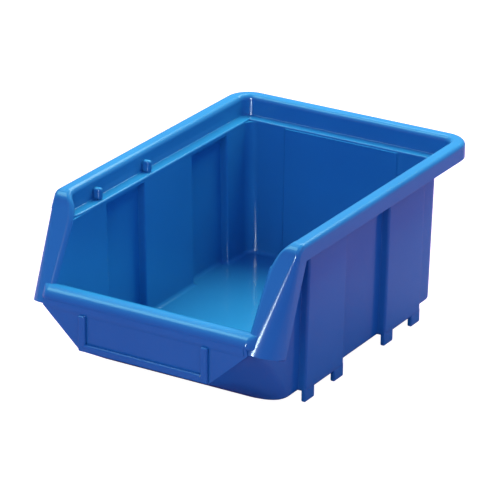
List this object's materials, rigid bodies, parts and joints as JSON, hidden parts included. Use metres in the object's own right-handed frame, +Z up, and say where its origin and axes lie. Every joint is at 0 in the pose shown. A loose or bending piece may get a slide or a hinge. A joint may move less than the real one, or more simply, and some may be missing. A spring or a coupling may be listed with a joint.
{
  "type": "stackable storage bin",
  "caption": "Open-topped plastic picking bin with a sloping hopper front, rolled rim, ribbed side walls, label holder and stacking feet.",
  "frame": {"origin": "centre of the bin's footprint at the underside of its feet", "axes": "+Z up, -Y towards the low hopper front, +Y towards the back wall, +X to the right of someone facing the front"},
  "size_m": [0.15, 0.2194, 0.0985],
  "materials": {
    "body": "gloss, smooth moulded polypropylene"
  },
  "bodies": {
    "root": {"back_corner_left": "body", "back_corner_right": "body", "back_wall_left": "body", "back_wall_middle": "body", "back_wall_right": "body", "floor_panel": "body", "foot_left_1": "body", "foot_left_2": "body", "foot_left_3": "body", "foot_left_4": "body", "foot_right_1": "body", "foot_right_2": "body", "foot_right_3": "body", "foot_right_4": "body", "front_corner_left": "body", "front_corner_right": "body", "front_lip": "body", "front_underside": "body", "label_panel": "body", "label_rail_bottom": "body", "label_rail_left": "body", "label_rail_right": "body", "ledge_back": "body", "ledge_left": "body", "ledge_right": "body", "lip_corner_left": "body", "lip_corner_right": "body", "pilaster_front_left": "body", "pilaster_front_right": "body", "pilaster_rear_left": "body", "pilaster_rear_right": "body", "rim_back": "body", "rim_corner_left": "body", "rim_corner_right": "body", "rim_side_left": "body", "rim_side_right": "body", "side_wall_front_left": "body", "side_wall_front_right": "body", "side_wall_middle_left": "body", "side_wall_middle_right": "body", "side_wall_rear_left": "body", "side_wall_rear_right": "body", "slope_flange_left": "body", "slope_flange_right": "body", "stacking_tab_front_left": "body", "stacking_tab_front_right": "body", "stacking_tab_rear_left": "body", "stacking_tab_rear_right": "body"}
  },
  "joints": []
}
